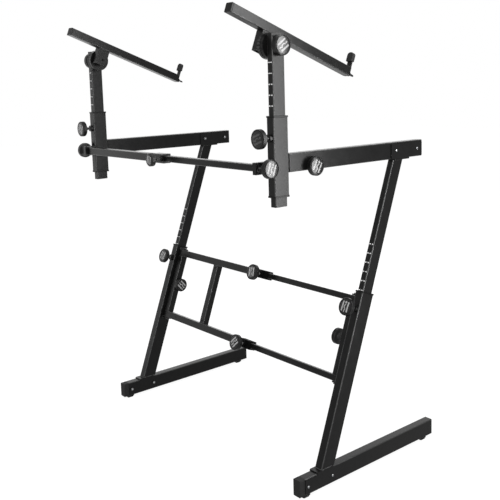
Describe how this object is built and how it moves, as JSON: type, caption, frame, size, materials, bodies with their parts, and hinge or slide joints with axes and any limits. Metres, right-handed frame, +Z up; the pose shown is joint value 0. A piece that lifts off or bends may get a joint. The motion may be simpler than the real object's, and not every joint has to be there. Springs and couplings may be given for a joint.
{
  "type": "two-tier keyboard stand",
  "caption": "Two-tier Z-shaped keyboard stand: telescoping legs and crossbars, arms that tilt on notched discs, clamp knobs and rubber end stops.",
  "frame": {"origin": "centre of the stand's footprint at rest, on the floor under the rubber pads", "axes": "+X across the stand towards the far side frame, +Y away from the player, +Z up"},
  "size_m": [0.93, 0.677, 1.2314],
  "materials": {
    "black_steel": "semi-gloss black powder coat with a fine orange-peel texture",
    "black_plastic": "satin moulded black plastic",
    "knob_plastic": "satin moulded black plastic with a pale plain pictogram plate",
    "rubber": "matte black rubber",
    "zinc_bolts": "bright zinc plating"
  },
  "bodies": {
    "far_base": {"far_foot_bar": "black_steel", "far_foot_rubbers": "rubber", "far_foot_bolts": "zinc_bolts", "far_leg_outer": "black_steel", "far_leg_bush": "black_plastic", "far_hinge_tube": "black_steel", "crossbar_outers": "black_steel", "crossbar_collars": "black_plastic"},
    "near_base": {"near_foot_bar": "black_steel", "near_foot_rubbers": "rubber", "near_foot_bolts": "zinc_bolts", "near_leg_outer": "black_steel", "near_leg_bush": "black_plastic", "near_hinge_tube": "black_steel", "crossbar_inners": "black_steel"},
    "far_upper": {"far_leg_inner": "black_steel", "far_lower_arm": "black_steel", "far_arm_cap": "black_plastic", "far_arm_bolts": "zinc_bolts"},
    "far_tier": {"far_post_sleeve": "black_steel", "far_sleeve_bushes": "black_plastic", "tier_bar_outer": "black_steel"},
    "far_post": {"far_post_inner": "black_steel", "far_post_disc": "black_plastic"},
    "far_tilt": {"far_tilt_bracket": "black_steel", "far_tilt_arm": "black_steel", "far_tilt_arm_caps": "black_plastic"},
    "far_stop": {"far_stop_plate": "black_steel", "far_stop_pad": "rubber"},
    "far_stop_screw": {"far_stop_screw": "black_plastic"},
    "far_leg_knob": {"far_leg_knob": "knob_plastic"},
    "far_arm_knob": {"far_arm_knob": "knob_plastic"},
    "far_post_knob": {"far_post_knob": "knob_plastic"},
    "far_tilt_knob": {"far_tilt_knob": "knob_plastic"},
    "far_end_knob": {"far_end_knob": "knob_plastic"},
    "far_fold_knob": {"far_fold_knob": "knob_plastic"},
    "near_upper": {"near_leg_inner": "black_steel", "near_lower_arm": "black_steel", "near_arm_cap": "black_plastic", "near_arm_bolts": "zinc_bolts"},
    "near_tier": {"near_post_sleeve": "black_steel", "near_sleeve_bushes": "black_plastic", "tier_bar_inner": "black_steel"},
    "near_post": {"near_post_inner": "black_steel", "near_post_disc": "black_plastic"},
    "near_tilt": {"near_tilt_bracket": "black_steel", "near_tilt_arm": "black_steel", "near_tilt_arm_caps": "black_plastic"},
    "near_stop": {"near_stop_plate": "black_steel", "near_stop_pad": "rubber"},
    "near_stop_screw": {"near_stop_screw": "black_plastic"},
    "near_leg_knob": {"near_leg_knob": "knob_plastic"},
    "near_arm_knob": {"near_arm_knob": "knob_plastic"},
    "near_post_knob": {"near_post_knob": "knob_plastic"},
    "near_tilt_knob": {"near_tilt_knob": "knob_plastic"},
    "near_end_knob": {"near_end_knob": "knob_plastic"},
    "near_fold_knob": {"near_fold_knob": "knob_plastic"},
    "upper_clamp_knob": {"upper_clamp_knob": "knob_plastic"},
    "lower_clamp_knob": {"lower_clamp_knob": "knob_plastic"},
    "tier_clamp_knob": {"tier_clamp_knob": "knob_plastic"}
  },
  "joints": [
    {"name": "stand_width", "type": "slide", "parent": "far_base", "child": "near_base", "axis": [-1, 0, 0], "range_m": [-0.18, 0.12]},
    {"name": "far_leg_height", "type": "slide", "parent": "far_base", "child": "far_upper", "axis": [0, -0.3442, 0.9389], "range_m": [-0.125, 0.075]},
    {"name": "near_leg_height", "type": "slide", "parent": "near_base", "child": "near_upper", "axis": [0, -0.3442, 0.9389], "range_m": [-0.125, 0.075]},
    {"name": "far_tier_depth", "type": "slide", "parent": "far_upper", "child": "far_tier", "axis": [0, 1, 0], "range_m": [-0.002, 0.06]},
    {"name": "near_tier_depth", "type": "slide", "parent": "near_upper", "child": "near_tier", "axis": [0, 1, 0], "range_m": [-0.002, 0.06]},
    {"name": "far_post_height", "type": "slide", "parent": "far_tier", "child": "far_post", "axis": [0, 0, 1], "range_m": [-0.125, 0.05]},
    {"name": "near_post_height", "type": "slide", "parent": "near_tier", "child": "near_post", "axis": [0, 0, 1], "range_m": [-0.125, 0.05]},
    {"name": "far_arm_tilt", "type": "hinge", "parent": "far_post", "child": "far_tilt", "pos_m": [0.3915, 0.23229, 1.1341], "axis": [1, 0, 0], "range_deg": [-21.1, 20]},
    {"name": "near_arm_tilt", "type": "hinge", "parent": "near_post", "child": "near_tilt", "pos_m": [-0.3915, 0.23229, 1.1341], "axis": [1, 0, 0], "range_deg": [-21.1, 20]},
    {"name": "far_stop_swing", "type": "hinge", "parent": "far_tilt", "child": "far_stop", "pos_m": [0.3915, -0.05043, 1.06788], "axis": [0, 0.933, 0.36], "range_deg": [-90, 90]},
    {"name": "near_stop_swing", "type": "hinge", "parent": "near_tilt", "child": "near_stop", "pos_m": [-0.3915, -0.05043, 1.06788], "axis": [0, 0.933, 0.36], "range_deg": [-90, 90]},
    {"name": "far_stop_screw_turn", "type": "hinge", "parent": "far_tilt", "child": "far_stop_screw", "pos_m": [0.3915, -0.05183, 1.06734], "axis": [0, 0.933, 0.36], "continuous": true},
    {"name": "far_leg_knob_turn", "type": "hinge", "parent": "far_base", "child": "far_leg_knob", "pos_m": [0.433, -0.00837, 0.45907], "axis": [0, 0.9389, 0.3442], "continuous": true},
    {"name": "far_arm_knob_turn", "type": "hinge", "parent": "far_upper", "child": "far_arm_knob", "pos_m": [0.4555, 0.13349, 0.8471], "axis": [1, 0, 0], "continuous": true},
    {"name": "far_post_knob_turn", "type": "hinge", "parent": "far_tier", "child": "far_post_knob", "pos_m": [0.433, 0.27479, 0.9211], "axis": [0, 1, 0], "continuous": true},
    {"name": "far_tilt_knob_turn", "type": "hinge", "parent": "far_post", "child": "far_tilt_knob", "pos_m": [0.4475, 0.23229, 1.1341], "axis": [1, 0, 0], "continuous": true},
    {"name": "far_end_knob_turn", "type": "hinge", "parent": "far_tier", "child": "far_end_knob", "pos_m": [0.44, 0.27449, 0.8521], "axis": [1, 0, 0], "continuous": true},
    {"name": "far_fold_knob_turn", "type": "hinge", "parent": "far_base", "child": "far_fold_knob", "pos_m": [0.385, -0.02068, 0.36482], "axis": [-1, 0, 0], "continuous": true},
    {"name": "near_stop_screw_turn", "type": "hinge", "parent": "near_tilt", "child": "near_stop_screw", "pos_m": [-0.3915, -0.05183, 1.06734], "axis": [0, 0.933, 0.36], "continuous": true},
    {"name": "near_leg_knob_turn", "type": "hinge", "parent": "near_base", "child": "near_leg_knob", "pos_m": [-0.433, -0.00837, 0.45907], "axis": [0, 0.9389, 0.3442], "continuous": true},
    {"name": "near_arm_knob_turn", "type": "hinge", "parent": "near_upper", "child": "near_arm_knob", "pos_m": [-0.4555, 0.13349, 0.8471], "axis": [-1, 0, 0], "continuous": true},
    {"name": "near_post_knob_turn", "type": "hinge", "parent": "near_tier", "child": "near_post_knob", "pos_m": [-0.433, 0.27479, 0.9211], "axis": [0, 1, 0], "continuous": true},
    {"name": "near_tilt_knob_turn", "type": "hinge", "parent": "near_post", "child": "near_tilt_knob", "pos_m": [-0.4475, 0.23229, 1.1341], "axis": [-1, 0, 0], "continuous": true},
    {"name": "near_end_knob_turn", "type": "hinge", "parent": "near_tier", "child": "near_end_knob", "pos_m": [-0.44, 0.27449, 0.8521], "axis": [-1, 0, 0], "continuous": true},
    {"name": "near_fold_knob_turn", "type": "hinge", "parent": "near_base", "child": "near_fold_knob", "pos_m": [-0.385, -0.02068, 0.36482], "axis": [1, 0, 0], "continuous": true},
    {"name": "upper_clamp_turn", "type": "hinge", "parent": "far_base", "child": "upper_clamp_knob", "pos_m": [-0.026, -0.02836, 0.4773], "axis": [0, 0.9389, 0.3442], "continuous": true},
    {"name": "lower_clamp_turn", "type": "hinge", "parent": "far_base", "child": "lower_clamp_knob", "pos_m": [-0.026, 0.04614, 0.27402], "axis": [0, 0.9389, 0.3442], "continuous": true},
    {"name": "tier_clamp_turn", "type": "hinge", "parent": "far_tier", "child": "tier_clamp_knob", "pos_m": [-0.013, 0.30449, 0.8521], "axis": [0, 1, 0], "continuous": true}
  ],
  "couplings": [
    {"joint": "near_leg_height", "follows": "far_leg_height", "ratio": 1},
    {"joint": "near_tier_depth", "follows": "far_tier_depth", "ratio": 1}
  ]
}
